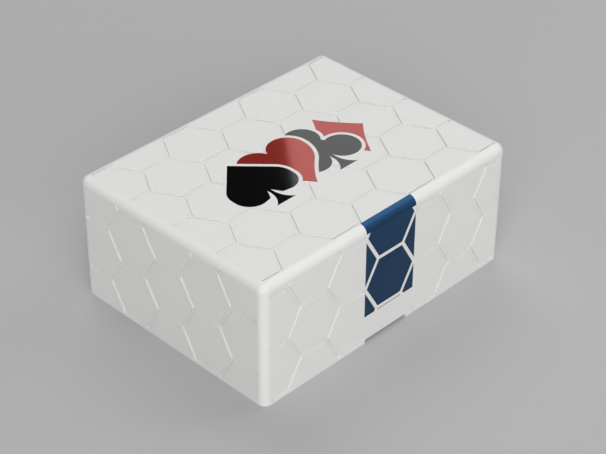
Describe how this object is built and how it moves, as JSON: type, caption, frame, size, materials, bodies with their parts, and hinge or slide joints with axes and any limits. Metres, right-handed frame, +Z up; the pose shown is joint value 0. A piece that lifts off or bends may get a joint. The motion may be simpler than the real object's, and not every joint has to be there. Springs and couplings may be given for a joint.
{
  "type": "playing card box",
  "caption": "Flat white box with rounded edges for playing cards: a grooved case and a pull-out drawer, hexagon grooves outside, card suits inlaid on top, blue strip on the front.",
  "frame": {"origin": "middle of the box's underside, with the drawer shut", "axes": "+X along the long front, +Z up; the drawer opens towards -Y"},
  "size_m": [0.105, 0.0798, 0.0434],
  "materials": {
    "white_shell": "satin white",
    "blue_inlay": "satin dark blue",
    "black_inlay": "glossy black",
    "red_inlay": "glossy dark red"
  },
  "bodies": {
    "case": {"case_sleeve": "white_shell", "spade_inlay": "black_inlay", "heart_inlay": "red_inlay", "club_inlay": "black_inlay", "diamond_inlay": "red_inlay"},
    "drawer": {"drawer_tray": "white_shell", "drawer_front": "white_shell", "strip_hexagon": "blue_inlay", "strip_upper_left": "blue_inlay", "strip_upper_right": "blue_inlay", "strip_lower_left": "blue_inlay", "strip_lower_right": "blue_inlay", "strip_foot_line": "blue_inlay", "strip_crown": "blue_inlay"}
  },
  "joints": [
    {"name": "drawer_slide", "type": "slide", "parent": "case", "child": "drawer", "axis": [0, -1, 0], "range_m": [0, 0.058]}
  ]
}
